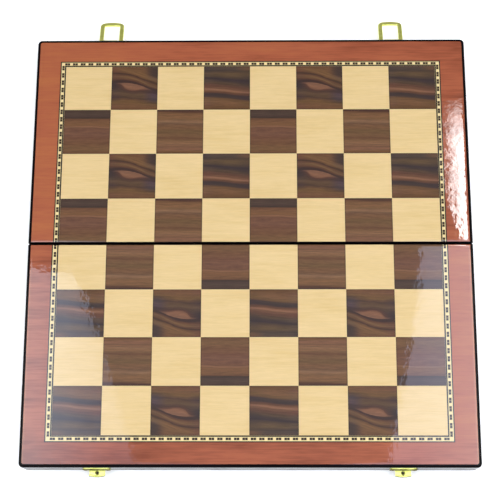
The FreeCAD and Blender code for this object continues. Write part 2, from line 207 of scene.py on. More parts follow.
def finished_copy(node, body, finish, rounding=0.0, steps=2, crease=30.0):
    """A merged copy of a CAD node, its edges softened, which stands for the node and rides on its body."""
    source = frame["nodes"][node]
    shape = bmesh.new()
    shape.from_mesh(source.data)
    shape.transform(source.matrix_world)
    bmesh.ops.remove_doubles(shape, verts=shape.verts, dist=2e-6)
    bmesh.ops.dissolve_limit(shape, angle_limit=math.radians(0.5), verts=shape.verts, edges=shape.edges)
    mesh = bpy.data.meshes.new(node + "_finished")
    shape.to_mesh(mesh)
    shape.free()
    piece = bpy.data.objects.new(node + "_finished", mesh)
    bpy.context.scene.collection.objects.link(piece)
    if rounding:
        soft = piece.modifiers.new("softened_edges", "BEVEL")
        soft.width = rounding
        soft.segments = steps
        soft.limit_method = "ANGLE"
        soft.angle_limit = math.radians(crease)
        settle(piece)
    smooth_with_creases(piece, crease if not rounding else 50.0)
    piece.data.materials.clear()
    piece.data.materials.append(finish)
    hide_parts(node)
    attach(piece, body)
    return piece


def black_lacquer_finish(name, specular, smoothest, roughest):
    """Sprayed and buffed clear-over-black lacquer: peel waves of about 6 mm, and finer haze in its polish."""
    material = bpy.data.materials.new(name)
    material.use_nodes = True
    tree = material.node_tree
    shader = tree.nodes["Principled BSDF"]
    where = add(tree, "ShaderNodeTexCoord").outputs["Object"]
    peel = add(tree, "ShaderNodeTexNoise", {"Vector": where, "Scale": 1 / 0.006, "Detail": 2.0})
    haze = add(tree, "ShaderNodeTexNoise", {"Vector": where, "Scale": 1 / 0.018, "Detail": 4.0})
    polish = {"Value": haze, "From Min": 0.3, "From Max": 0.7, "To Min": smoothest, "To Max": roughest}
    polish = add(tree, "ShaderNodeMapRange", polish)
    depth = add(tree, "ShaderNodeValToRGB", {"Fac": haze})
    depth.color_ramp.elements[0].color = linear("080607")
    depth.color_ramp.elements[1].color = linear("120C0D")
    tree.links.new(depth.outputs["Color"], shader.inputs["Base Color"])
    tree.links.new(polish.outputs[0], shader.inputs["Roughness"])
    bump = add(tree, "ShaderNodeBump", {"Height": peel, "Strength": 1.0, "Distance": 0.00003})
    tree.links.new(bump.outputs[0], shader.inputs["Normal"])
    shader.inputs["Specular IOR Level"].default_value = specular
    return material


wall_lacquer = black_lacquer_finish("black_lacquer_on_walls", 0.2, 0.2, 0.32)
for half in ("far", "near"):
    for wall in ("outer", "hinge", "left", "right"):
        finished_copy(
            f"{half}_{wall}_wall", half + "_half", wall_lacquer, rounding=0.00012, steps=1
        )


# Board panels: a fibreboard panel glued on each tray, its three outer top edges rounded to 2 mm and the edge at
# the fold just eased. It has a shallow recess for the printed sheet, and the black lacquer of the walls.
panel_lacquer = black_lacquer_finish("black_lacquer_on_panels", 0.08, 0.05, 0.11)
for half in ("far", "near"):
    finished_copy(half + "_board_panel", half + "_half", panel_lacquer, rounding=0.00008, steps=1)


# Printed faces: wood-grain paper laid in the recess of each panel under clear polyester, the same print on both
# halves. It shows mahogany round a stringing of cream with paired dashes, and squares of maple and walnut.
tilt = math.radians(-fold_joint["range_deg"][0] / 2)
place = {
    "far": Matrix.Translation(fold_axis) @ Matrix.Rotation(-tilt, 4, "X"),
    "near": Matrix.Translation(fold_axis) @ Matrix.Rotation(math.pi, 4, "Z") @ Matrix.Rotation(-tilt, 4, "X"),
}
MM = 0.001
case_width, half_depth, half_height, fold_gap = 300.0, 148.5, 22.0, 0.15

# Grain figures of the dark squares. Each line is one seam of the grain, from the far edge to the near edge: how
# far down the square it runs, at even steps from left to right, and its colour at the left, middle and right
knot_figure = (
    ((0.00, 0.00, 0.00, 0.00, 0.00, 0.00, 0.00), "623927", "643F24", "3D2920"),
    ((0.02, 0.03, 0.05, 0.08, 0.13, 0.19, 0.24), "623B27", "644324", "3F2B22"),
    ((0.06, 0.07, 0.10, 0.15, 0.21, 0.28, 0.33), "663F27", "6E4B29", "64472D"),
    ((0.12, 0.125, 0.145, 0.19, 0.26, 0.32, 0.38), "5A3722", "5E3D20", "4D331A"),
    ((0.15, 0.155, 0.175, 0.215, 0.285, 0.345, 0.41), "3E2418", "382217", "382218"),
    ((0.175, 0.18, 0.20, 0.24, 0.31, 0.375, 0.435), "523320", "52331F", "50331A"),
    ((0.22, 0.225, 0.24, 0.28, 0.35, 0.43, 0.49), "603F2A", "6A4929", "62432A"),
    ((0.29, 0.285, 0.295, 0.33, 0.395, 0.465, 0.52), "523320", "56351E", "52351F"),
    ((0.345, 0.33, 0.335, 0.365, 0.43, 0.50, 0.55), "341F1A", "311A17", "341F1B"),
    ((0.40, 0.38, 0.375, 0.40, 0.45, 0.52, 0.57), "311F1B", "3D2418", "36221A"),
    ((0.405, 0.385, 0.385, 0.41, 0.46, 0.53, 0.58), "2E1F1C", "7C543C", "38241A"),
    ((0.41, 0.395, 0.51, 0.54, 0.515, 0.54, 0.59), "2E1F1E", "724A32", "382422"),
    ((0.43, 0.42, 0.53, 0.555, 0.535, 0.56, 0.61), "2E1F1E", "523020", "382422"),
    ((0.50, 0.49, 0.57, 0.59, 0.575, 0.59, 0.63), "31221F", "43291E", "382422"),
    ((0.61, 0.61, 0.63, 0.65, 0.645, 0.65, 0.67), "563D2A", "543B24", "473337"),
    ((0.66, 0.66, 0.67, 0.69, 0.70, 0.70, 0.72), "473024", "503721", "4B3737"),
    ((0.71, 0.71, 0.72, 0.74, 0.75, 0.76, 0.77), "392422", "472E1F", "3A2C2F"),
    ((0.82, 0.82, 0.80, 0.81, 0.84, 0.86, 0.87), "604320", "624320", "563B1F"),
    ((0.93, 0.93, 0.93, 0.93, 0.93, 0.93, 0.93), "663F2A", "684327", "623F22"),
    ((1.00, 1.00, 1.00, 1.00, 1.00, 1.00, 1.00), "5C3B20", "603D20", "624120"),
)
striped_figure = (
    ((0.00, 0.00, 0.00, 0.00, 0.00), "43332A", "52392A", "5A3D27"),
    ((0.05, 0.05, 0.05, 0.05, 0.05), "41302A", "45352A", "60412A"),
    ((0.10, 0.10, 0.10, 0.11, 0.12), "3A2C24", "3D2C22", "473322"),
    ((0.17, 0.17, 0.17, 0.18, 0.19), "543D2A", "563F24", "523B24"),
    ((0.23, 0.24, 0.26, 0.275, 0.28), "473524", "473322", "412E22"),
    ((0.265, 0.275, 0.30, 0.32, 0.33), "2E1F1F", "2C1D1F", "2C1D1F"),
    ((0.30, 0.31, 0.335, 0.365, 0.38), "433024", "362622", "31221F"),
    ((0.36, 0.37, 0.39, 0.41, 0.43), "4B372A", "473320", "412E22"),
    ((0.45, 0.45, 0.47, 0.50, 0.53), "583322", "543322", "523322"),
    ((0.49, 0.50, 0.53, 0.56, 0.58), "643D2A", "664129", "603D27"),
    ((0.53, 0.54, 0.56, 0.59, 0.61), "80573F", "845A40", "7A523D"),
    ((0.57, 0.58, 0.60, 0.63, 0.65), "623D24", "5E3920", "58351F"),
    ((0.63, 0.64, 0.66, 0.69, 0.71), "342420", "31221F", "362422"),
    ((0.69, 0.70, 0.72, 0.75, 0.78), "382622", "3A2920", "362422"),
    ((0.735, 0.745, 0.76, 0.79, 0.81), "62452A", "604122", "56391F"),
    ((0.82, 0.82, 0.83, 0.85, 0.86), "6B4A2F", "6B482A", "62431F"),
    ((0.89, 0.89, 0.89, 0.90, 0.90), "623F2A", "644124", "624124"),
    ((0.96, 0.96, 0.96, 0.96, 0.96), "5E3D1E", "5C3B1B", "5C3B1A"),
    ((1.00, 1.00, 1.00, 1.00, 1.00), "58391A", "58391A", "543517"),
)
banded_figure = (
    ((0.00, 0.00, 0.00), "452E1C"),
    ((0.04, 0.04, 0.04), "402B20"),
    ((0.10, 0.10, 0.10), "463224"),
    ((0.155, 0.155, 0.155), "402A20"),
    ((0.185, 0.185, 0.185), "312217"),
    ((0.215, 0.215, 0.22), "5E3B21"),
    ((0.29, 0.28, 0.29), "6C4729"),
    ((0.37, 0.355, 0.37), "6A4526"),
    ((0.395, 0.38, 0.40), "785237"),
    ((0.43, 0.41, 0.43), "643F29"),
    ((0.56, 0.56, 0.56), "68432F"),
    ((0.64, 0.64, 0.64), "623D27"),
    ((0.70, 0.70, 0.70), "684329"),
    ((0.76, 0.76, 0.76), "613E24"),
    ((0.90, 0.90, 0.90), "6A4929"),
    ((1.00, 1.00, 1.00), "5C391F"),
)
plain_figure = (
    ((0.00, 0.00, 0.00), "432518"),
    ((0.03, 0.045, 0.06), "472918"),
    ((0.06, 0.085, 0.10), "684526"),
    ((0.16, 0.16, 0.16), "744F2E"),
    ((0.22, 0.22, 0.23), "6B492A"),
    ((0.28, 0.27, 0.29), "7A583C"),
    ((0.33, 0.32, 0.34), "62432A"),
    ((0.42, 0.41, 0.42), "6B4729"),
    ((0.50, 0.49, 0.50), "5E4324"),
    ((0.58, 0.58, 0.59), "684729"),
    ((0.65, 0.66, 0.67), "5C3B22"),
    ((0.72, 0.72, 0.72), "724F2F"),
    ((0.78, 0.78, 0.79), "785437"),
    ((0.84, 0.84, 0.84), "6B472D"),
    ((0.90, 0.90, 0.90), "744D35"),
    ((0.96, 0.96, 0.96), "64411E"),
    ((1.00, 1.00, 1.00), "5A391B"),
)


def wood_figure(tree, figure, across, down):
    """The colour of a wood figure: bands between seams that bend across the square, with grain along them."""
    curves = []
    for seam, *_ in figure:
        line = add(tree, "ShaderNodeFloatCurve", {"Value": across})
        points = line.mapping.curves[0].points
        while len(points) < len(seam):
            points.new(0.5, 0.5)
        for index, depth in enumerate(seam):
            points[index].location = (index / (len(seam) - 1), depth)
            points[index].handle_type = "AUTO_CLAMPED"
        line.mapping.update()
        curves.append(line)
    passed = None
    for upper, lower in zip(curves, curves[1:]):
        step = add(tree, "ShaderNodeMapRange", {"Value": down, "From Min": upper, "From Max": lower})
        passed = step if passed is None else add(tree, "ShaderNodeMath", {0: passed, 1: step}, operation="ADD")
    share = add(tree, "ShaderNodeMath", {0: passed, 1: 1 / (len(figure) - 1)}, operation="MULTIPLY")
    sides = []
    for side in range(3):
        ramp = add(tree, "ShaderNodeValToRGB", {"Fac": share})
        stops = ramp.color_ramp.elements
        while len(stops) < len(figure):
            stops.new(0.5)
        for index, (_, *colours) in enumerate(figure):
            stops[index].position = index / (len(figure) - 1)
            stops[index].color = linear(colours[min(side, len(colours) - 1)])
        sides.append(ramp)
    colour = sides[0]
    for (start, end), next_side in zip(((0.02, 0.3), (0.65, 0.92)), sides[1:]):
        slow = add(
            tree,
            "ShaderNodeMapRange",
            {"Value": across, "From Min": start, "From Max": end},
            interpolation_type="SMOOTHSTEP",
        )
        colour = add(tree, "ShaderNodeMix", {"Factor": slow, 6: colour, 7: next_side}, data_type="RGBA").outputs[2]
    along = add(tree, "ShaderNodeCombineXYZ", {0: across, 1: passed, 2: float(len(figure))})
    grain = add(tree, "ShaderNodeVectorMath", {0: along, 1: (2.6, 2.4, 1.0)}, operation="MULTIPLY")
    grain = add(tree, "ShaderNodeTexNoise", {"Vector": grain, "Scale": 1.0, "Detail": 6.0, "Roughness": 0.7})
    tone = {"Value": grain, "From Min": 0.25, "From Max": 0.75, "To Min": 0.58, "To Max": 1.38}
    tone = add(tree, "ShaderNodeMapRange", tone)
    return add(tree, "ShaderNodeVectorMath", {0: colour, "Scale": tone}, operation="SCALE").outputs[0]


def printed_veneer(half):
    """Gravure print of three woods on paper: it shows to the eye as matt wood under a deep, clear, wet gloss."""
    material = bpy.data.materials.new("lacquered_wood_print_" + half)
    material.use_nodes = True
    tree = material.node_tree
    shader = tree.nodes["Principled BSDF"]
    level = place[half].inverted()
    where = add(
        tree,
        "ShaderNodeMapping",
        {
            "Vector": add(tree, "ShaderNodeTexCoord").outputs["Object"],
            "Location": level.to_translation(),
            "Rotation": level.to_euler(),
        },
    )
    in_mm = add(tree, "ShaderNodeVectorMath", {0: where, "Scale": 1000.0}, operation="SCALE")
    axes = add(tree, "ShaderNodeSeparateXYZ", {0: in_mm})
    x, y = axes.outputs["X"], axes.outputs["Y"]

    # Squares: which one a point is in, and how far across and down it is in that square
    square = SQUARE / MM
    middle_x = -0.3 if half == "far" else 0.3
    field_half, field_far = 4 * square, 127.9
    across = add(tree, "ShaderNodeMath", {0: x, 1: field_half - middle_x}, operation="ADD")
    across = add(tree, "ShaderNodeMath", {0: across, 1: square}, operation="DIVIDE")
    down = add(tree, "ShaderNodeMath", {0: field_far, 1: y}, operation="SUBTRACT")
    down = add(tree, "ShaderNodeMath", {0: down, 1: square}, operation="DIVIDE")
    column = add(tree, "ShaderNodeMath", {0: across}, operation="FLOOR")
    row = add(tree, "ShaderNodeMath", {0: down}, operation="FLOOR")
    u = add(tree, "ShaderNodeMath", {0: across}, operation="FRACT")
    v = add(tree, "ShaderNodeMath", {0: down}, operation="FRACT")
    tile = add(tree, "ShaderNodeCombineXYZ", {0: u, 1: v})

    # Grain: sway 9 mm apart, streaks 1.3 mm apart and fibres 0.35 mm apart, all long in x; the first two are
    # the same in every square, as the print is
    grains = {}
    for name, space, stretch in (
        ("sway", tile, (square / 30.0, square / 9.0, 0.0)),
        ("jag", tile, (square / 16.0, square / 1.3, 0.0)),
        ("drift", in_mm, (1 / 45.0, 1 / 9.0, 0.02)),
        ("streak", in_mm, (1 / 26.0, 1 / 1.0, 0.02)),
        ("fibre", in_mm, (1 / 7.0, 1 / 0.35, 0.02)),
    ):
        stretched = add(tree, "ShaderNodeVectorMath", {0: space, 1: stretch}, operation="MULTIPLY")
        noise = {"Vector": stretched, "Scale": 1.0, "Detail": 3.0, "Roughness": 0.6}
        noise = add(tree, "ShaderNodeTexNoise", noise)
        grains[name] = add(tree, "ShaderNodeMath", {0: noise, 1: 0.5}, operation="SUBTRACT")
    bent = add(tree, "ShaderNodeMath", {0: grains["sway"], 1: 0.03, 2: v}, operation="MULTIPLY_ADD")
    bent = add(tree, "ShaderNodeMath", {0: grains["jag"], 1: 0.035, 2: bent}, operation="MULTIPLY_ADD")

    # Walnut squares: knots and stripes by turns in the even rows, banded and plain ones in the odd rows
    turn = add(tree, "ShaderNodeMath", {0: column, 1: 4.0}, operation="FLOORED_MODULO")
    even_row = add(tree, "ShaderNodeMath", {0: row, 1: 2.0}, operation="FLOORED_MODULO")
    even_row = add(tree, "ShaderNodeMath", {0: even_row, 1: 0.5}, operation="LESS_THAN")
    is_first = add(tree, "ShaderNodeMath", {0: turn, 1: 1.5}, operation="LESS_THAN")
    pairs = []
    for second, first in ((plain_figure, banded_figure), (striped_figure, knot_figure)):
        second, first = (wood_figure(tree, figure, u, bent) for figure in (second, first))
        pairs.append(add(tree, "ShaderNodeMix", {"Factor": is_first, 6: second, 7: first}, data_type="RGBA").outputs[2])
    dark = add(tree, "ShaderNodeMix", {"Factor": even_row, 6: pairs[0], 7: pairs[1]}, data_type="RGBA").outputs[2]
    from_side = add(tree, "ShaderNodeMath", {0: u, 1: 0.5}, operation="PINGPONG")
    from_end = add(tree, "ShaderNodeMath", {0: v, 1: 0.5}, operation="PINGPONG")
    to_edge = add(tree, "ShaderNodeMath", {0: from_side, 1: from_end}, operation="MINIMUM")
    edge_ink = {"Value": to_edge, "From Min": 0.008, "From Max": 0.035, "To Min": 0.74, "To Max": 1.0}
    edge_ink = add(tree, "ShaderNodeMapRange", edge_ink)
    dark = add(tree, "ShaderNodeVectorMath", {0: dark, "Scale": edge_ink}, operation="SCALE")

    # Maple squares: cream, with faint streaks, and mahogany: red-brown with long dark grain lines
    woods = {}
    for wood, tones, weights in (
        ("maple", ((0.3, "D7B77B"), (0.5, "DDBF87"), (0.7, "E1C38D")), (0.6, 0.6)),
        ("mahogany", ((0.2, "7F3A1C"), (0.5, "A25434"), (0.8, "AC6036")), (0.9, 0.55)),
    ):
        figure = add(tree, "ShaderNodeMath", {0: grains["drift"], 1: weights[0], 2: 0.5}, operation="MULTIPLY_ADD")
        figure = add(tree, "ShaderNodeMath", {0: grains["streak"], 1: weights[1], 2: figure}, operation="MULTIPLY_ADD")
        if wood == "mahogany":
            leftward = {"Value": x, "From Min": 150.0, "From Max": -150.0, "To Min": -0.10, "To Max": 0.12}
            leftward = add(tree, "ShaderNodeMapRange", leftward)
            figure = add(tree, "ShaderNodeMath", {0: figure, 1: leftward}, operation="ADD")
            if half == "near":
                outermost = {"Value": y, "From Min": 129.0, "From Max": 134.0, "To Min": 0.0, "To Max": -0.12}
                outermost = add(tree, "ShaderNodeMapRange", outermost)
                figure = add(tree, "ShaderNodeMath", {0: figure, 1: outermost}, operation="ADD")
        ramp = add(tree, "ShaderNodeValToRGB", {"Fac": figure})
        ramp.color_ramp.elements.new(0.5)
        for stop, (position, tone) in zip(ramp.color_ramp.elements, tones):
            stop.position = position
            stop.color = linear(tone)
        woods[wood] = ramp
    checker = add(tree, "ShaderNodeMath", {0: column, 1: row}, operation="ADD")
    checker = add(tree, "ShaderNodeMath", {0: checker, 1: 2.0}, operation="FLOORED_MODULO")
    field = add(tree, "ShaderNodeMix", {"Factor": checker, 6: woods["maple"], 7: dark}, data_type="RGBA").outputs[2]

    # Stringing: cream between two dark lines, with a row of paired dashes along its middle
    band_width = 3.65 if half == "far" else 4.2
    dash_pitch, block, gap, dash_height = 5.446, 1.55, 0.35, 1.65
    pair = 2 * block + gap
    lead = (48 * dash_pitch - (dash_pitch - pair) - 2 * field_half) / 2
    off_middle = add(tree, "ShaderNodeMath", {0: x, 1: middle_x}, operation="SUBTRACT")
    off_middle = add(tree, "ShaderNodeMath", {0: off_middle}, operation="ABSOLUTE")
    side_out = add(tree, "ShaderNodeMath", {0: off_middle, 1: field_half}, operation="SUBTRACT")
    far_out = add(tree, "ShaderNodeMath", {0: y, 1: field_far}, operation="SUBTRACT")
    out = add(tree, "ShaderNodeMath", {0: side_out, 1: far_out}, operation="MAXIMUM")
    along_far = add(tree, "ShaderNodeMath", {0: x, 1: field_half + lead - middle_x}, operation="ADD")
    along_side = add(tree, "ShaderNodeMath", {0: field_far + 0.85, 1: y}, operation="SUBTRACT")
    on_side = add(tree, "ShaderNodeMath", {0: side_out, 1: far_out}, operation="GREATER_THAN")
    along = add(tree, "ShaderNodeMix", {0: on_side, 2: along_far, 3: along_side}, data_type="FLOAT").outputs[0]
    beat = add(tree, "ShaderNodeMath", {0: along, 1: dash_pitch}, operation="FLOORED_MODULO")
    from_gap = add(tree, "ShaderNodeMath", {0: beat, 1: pair / 2}, operation="SUBTRACT")
    from_gap = add(tree, "ShaderNodeMath", {0: from_gap}, operation="ABSOLUTE")
    in_block = add(tree, "ShaderNodeMath", {0: from_gap, 1: gap / 2}, operation="GREATER_THAN")
    in_block = add(tree, "ShaderNodeMapRange", {"Value": in_block, "To Min": 0.6, "To Max": 1.0})
    off_line = add(tree, "ShaderNodeMath", {0: out, 1: (0.6 + band_width - 0.3) / 2}, operation="SUBTRACT")
    off_line = add(tree, "ShaderNodeMath", {0: off_line}, operation="ABSOLUTE")
    dash = in_block
    for value, limit, test in (
        (from_gap, pair / 2, "LESS_THAN"),
        (off_line, dash_height / 2, "LESS_THAN"),
        (along, 0.0, "GREATER_THAN"),
        (along, 2 * (field_half + lead), "LESS_THAN"),
    ):
        mask = add(tree, "ShaderNodeMath", {0: value, 1: limit}, operation=test)
        dash = add(tree, "ShaderNodeMath", {0: dash, 1: mask}, operation="MULTIPLY")
    stringing = add(tree, "ShaderNodeMix", {"Factor": dash, 6: linear("E4CC92"), 7: linear("281403")}, data_type="RGBA")
    for line_middle, line_width in ((0.45, 1.0), (band_width, 0.9)):
        off = add(tree, "ShaderNodeMath", {0: out, 1: line_middle}, operation="SUBTRACT")
        off = add(tree, "ShaderNodeMath", {0: off}, operation="ABSOLUTE")
        on_line = add(tree, "ShaderNodeMath", {0: off, 1: line_width / 2}, operation="LESS_THAN")
        layers = {"Factor": on_line, 6: stringing.outputs[2], 7: linear("121006")}
        stringing = add(tree, "ShaderNodeMix", layers, data_type="RGBA")
    in_stringing = add(tree, "ShaderNodeMath", {0: out, 1: band_width + 0.3}, operation="LESS_THAN")
    layers = {"Factor": in_stringing, 6: woods["mahogany"], 7: stringing.outputs[2]}
    outer = add(tree, "ShaderNodeMix", layers, data_type="RGBA").outputs[2]
    in_field = add(tree, "ShaderNodeMath", {0: out, 1: 0.08}, operation="LESS_THAN")
    printed = add(tree, "ShaderNodeMix", {"Factor": in_field, 6: outer, 7: field}, data_type="RGBA").outputs[2]

    # Fibres lighten and darken the whole print a little
    fibres = add(tree, "ShaderNodeMath", {0: grains["fibre"], 1: 0.25, 2: 0.94}, operation="MULTIPLY_ADD")
    printed = add(tree, "ShaderNodeVectorMath", {0: printed, "Scale": fibres}, operation="SCALE")
    tree.links.new(printed.outputs[0], shader.inputs["Base Color"])
    shader.inputs["Roughness"].default_value = 0.5
    shader.inputs["Specular IOR Level"].default_value = 0.3

    # Clear polyester over the print: slow peel 7 mm across, with fine pebbling of 2.6 mm in it
    shader.inputs["Coat Weight"].default_value = 1.0
    shader.inputs["Coat Roughness"].default_value = 0.02
    shader.inputs["Coat IOR"].default_value = 1.5
    peel = add(tree, "ShaderNodeTexNoise", {"Vector": in_mm, "Scale": 1 / 7.0, "Detail": 1.0})
    pebbles = add(tree, "ShaderNodeTexNoise", {"Vector": in_mm, "Scale": 1 / 2.6, "Detail": 1.0})
    surface = add(tree, "ShaderNodeMath", {0: pebbles, 1: 0.62, 2: peel}, operation="MULTIPLY_ADD")
    bump = add(tree, "ShaderNodeBump", {"Height": surface, "Strength": 1.0, "Distance": 0.00002})
    tree.links.new(bump.outputs[0], shader.inputs["Coat Normal"])
    return material


def sheet_ring(inset, z):
    """The sheet's outline, a little smaller by inset, as points round its rounded outer corners."""
    side, front, back = case_width / 2 - 2.15 - inset, half_depth - 2.15 - inset, fold_gap + 0.65 + inset
    ring = []
    for corner_x, corner_y, radius, start in (
        (side, back, 0.3, -90),
        (side, front, 1.5, 0),
        (-side, front, 1.5, 90),
        (-side, back, 0.3, 180),
    ):
        radius = max(radius - inset, 0.05)
        centre = (corner_x - math.copysign(radius, corner_x), corner_y + (radius if corner_y == back else -radius))
        for step in range(7):
            turn = math.radians(start + 90 * step / 6)
            ring.append((centre[0] + radius * math.cos(turn), centre[1] + radius * math.sin(turn), z))
    return ring


for half in ("far", "near"):
    rings = [sheet_ring(0.0, half_height - 0.5)]
    for inset in (0.0, 0.12, 0.3, 0.55, 0.85, 1.2):
        rings.append(sheet_ring(inset, half_height - 0.09 * (1 - inset / 1.2) ** 2))
    count = len(rings[0])
    points = [place[half] @ (Vector(point) * MM) for ring in rings for point in ring]
    faces = [tuple(reversed(range(count))), tuple(range(len(points) - count, len(points)))]
    for level_index in range(len(rings) - 1):
        for index in range(count):
            a, b = level_index * count + index, level_index * count + (index + 1) % count
            faces.append((a, b, b + count, a + count))
    sheet = make_piece(half + "_printed_sheet", points, faces)
    smooth_with_creases(sheet, 40.0)
    sheet.data.materials.append(printed_veneer(half))
    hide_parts(half + "_printed_face")
    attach(sheet, half + "_half")


# Tray linings: wool-mix felt glued to the underside of each board, inside the walls. The felt is dense and matt,
# with short fibres lying every way and a faint pile that lightens at a low angle.
def needled_felt():
    material = bpy.data.materials.new("needled_felt")
    material.use_nodes = True
    tree = material.node_tree
    shader = tree.nodes["Principled BSDF"]
    where = add(tree, "ShaderNodeTexCoord").outputs["Object"]
    clumps = add(tree, "ShaderNodeTexNoise", {"Vector": where, "Scale": 1 / 0.004, "Detail": 6.0, "Roughness": 0.7})
    colour = add(tree, "ShaderNodeValToRGB", {"Fac": clumps})
    colour.color_ramp.elements[0].position = 0.3
    colour.color_ramp.elements[0].color = linear("3A1C22")
    colour.color_ramp.elements[1].position = 0.7
    colour.color_ramp.elements[1].color = linear("55303A")
    tree.links.new(colour.outputs["Color"], shader.inputs["Base Color"])
    hairs = add(tree, "ShaderNodeTexNoise", {"Vector": where, "Scale": 1 / 0.0006, "Detail": 3.0, "Distortion": 2.0})
    bump = add(tree, "ShaderNodeBump", {"Height": hairs, "Strength": 0.6, "Distance": 0.0003})
    tree.links.new(bump.outputs[0], shader.inputs["Normal"])
    shader.inputs["Roughness"].default_value = 0.95
    shader.inputs["Sheen Weight"].default_value = 0.5
    shader.inputs["Sheen Roughness"].default_value = 0.5
    return material


felt = needled_felt()
felt_side, felt_front, felt_back, felt_top, felt_thickness = 141.6, 140.2, 8.45, 16.98, 0.9
for half in ("far", "near"):
    columns, lines = 72, 34
    grid = bmesh.new()
    bmesh.ops.create_grid(grid, x_segments=columns, y_segments=lines, size=1.0)
    for vertex in grid.verts:
        x = vertex.co.x * felt_side
        y = felt_back + (vertex.co.y + 1) / 2 * (felt_front - felt_back)
        edge = min(felt_side - abs(x), y - felt_back, felt_front - y)
        ripple = 0.05 * math.sin(x / 9.0 + 1.3 * math.sin(y / 23.0)) * math.sin(y / 7.0)
        z = felt_top - felt_thickness + max(ripple, -0.05) * min(1.0, edge / 6.0)
        vertex.co = place[half] @ (Vector((x, y, z)) * MM)
    mesh = bpy.data.meshes.new(half + "_felt")
    grid.to_mesh(mesh)
    grid.free()
    piece = bpy.data.objects.new(half + "_felt", mesh)
    bpy.context.scene.collection.objects.link(piece)
    thicken = piece.modifiers.new("thickness", "SOLIDIFY")
    thicken.thickness = felt_thickness * 0.9 * MM
    thicken.offset = 1.0
    settle(piece)
    smooth_with_creases(piece, 50.0)
    piece.data.materials.append(felt)
    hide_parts(half + "_lining")
    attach(piece, half + "_half")


# Hinges: two butt hinges in the rims of the hinge walls, pressed from brass strip, their knuckles rolled round
# a steel-cored brass pin. The brass is rolled and tumbled, then lightly lacquered: yellow, with a soft gloss.
def rolled_brass(name, tone_low, tone_high, roughness_low, roughness_high):
    material = bpy.data.materials.new(name)
    material.use_nodes = True
    tree = material.node_tree
    shader = tree.nodes["Principled BSDF"]
    where = add(tree, "ShaderNodeTexCoord").outputs["Object"]
    blotch = add(tree, "ShaderNodeTexNoise", {"Vector": where, "Scale": 1 / 0.004, "Detail": 4.0})
    colour = add(tree, "ShaderNodeValToRGB", {"Fac": blotch})
    colour.color_ramp.elements[0].position = 0.3
    colour.color_ramp.elements[0].color = linear(tone_low)
    colour.color_ramp.elements[1].position = 0.7
    colour.color_ramp.elements[1].color = linear(tone_high)
    tree.links.new(colour.outputs["Color"], shader.inputs["Base Color"])
    scuffs = add(tree, "ShaderNodeTexNoise", {"Vector": where, "Scale": 1 / 0.0009, "Detail": 4.0})
    polish = add(
        tree,
        "ShaderNodeMapRange",
        {"Value": scuffs, "From Min": 0.3, "From Max": 0.7, "To Min": roughness_low, "To Max": roughness_high},
    )
    tree.links.new(polish.outputs[0], shader.inputs["Roughness"])
    bump = add(tree, "ShaderNodeBump", {"Height": scuffs, "Strength": 0.5, "Distance": 0.00002})
    tree.links.new(bump.outputs[0], shader.inputs["Normal"])
    shader.inputs["Metallic"].default_value = 1.0
    return material


plated_brass = rolled_brass("polished_brass_plate", "E2E474", "F8F892", 0.28, 0.42)
drawn_brass = rolled_brass("drawn_brass_wire", "BFA14A", "DCC672", 0.2, 0.4)
for side in ("left", "right"):
    for half in ("far", "near"):
        finished_copy(
            f"hinge_leaf_{half}_{side}", half + "_half", plated_brass, rounding=0.00008, steps=2
        )
    finished_copy("hinge_pin_" + side, "far_half", drawn_brass, rounding=0.0002, steps=2)


# Hinge screws: three brass countersunk screws through each leaf, with slotted heads that stop at any angle.
# They are turned from wire, and the slots are crisp.
def revolved(name, profile, steps=32):
    """A closed body of revolution about z, from the (radius, height) points of its half section."""
    shape = bmesh.new()
    rail = [shape.verts.new((radius, 0, height)) for radius, height in profile]
    edges = [shape.edges.new(pair) for pair in zip(rail, rail[1:])]
    bmesh.ops.spin(
        shape, geom=rail + edges, cent=(0, 0, 0), axis=(0, 0, 1), angle=2 * math.pi, steps=steps, use_merge=True
    )
    bmesh.ops.remove_doubles(shape, verts=shape.verts, dist=1e-7)
    bmesh.ops.recalc_face_normals(shape, faces=shape.faces)
    mesh = bpy.data.meshes.new(name)
    shape.to_mesh(mesh)
    shape.free()
    piece = bpy.data.objects.new(name, mesh)
    bpy.context.scene.collection.objects.link(piece)
    return piece


rows_tree = bpy.data.node_groups.new("fasteners_on_seats", "GeometryNodeTree")
sockets = {}
for name, kind in (
    ("Seats", "NodeSocketGeometry"),
    ("Fastener", "NodeSocketObject"),
    ("Finish", "NodeSocketMaterial"),
    ("Axis", "NodeSocketVector"),
    ("Turn", "NodeSocketFloat"),
):
    sockets[name] = rows_tree.interface.new_socket(name, in_out="INPUT", socket_type=kind).identifier
rows_tree.interface.new_socket("Fasteners", in_out="OUTPUT", socket_type="NodeSocketGeometry")
given = add(rows_tree, "NodeGroupInput")
shape_node = add(rows_tree, "GeometryNodeObjectInfo", {"Object": given.outputs["Fastener"]})
turn = add(
    rows_tree,
    "FunctionNodeRandomValue",
    {2: 0.0, 3: given.outputs["Turn"], "Seed": 7},
    data_type="FLOAT",
)
rotation = add(
    rows_tree,
    "ShaderNodeVectorMath",
    {0: given.outputs["Axis"], "Scale": turn.outputs[1]},
    operation="SCALE",
)
instances = add(
    rows_tree,
    "GeometryNodeInstanceOnPoints",
    {"Points": given.outputs["Seats"], "Instance": shape_node.outputs["Geometry"], "Rotation": rotation},
)
real = add(rows_tree, "GeometryNodeRealizeInstances", {0: instances})
coated = add(rows_tree, "GeometryNodeSetMaterial", {0: real, "Material": given.outputs["Finish"]})
add(rows_tree, "NodeGroupOutput", {0: coated})


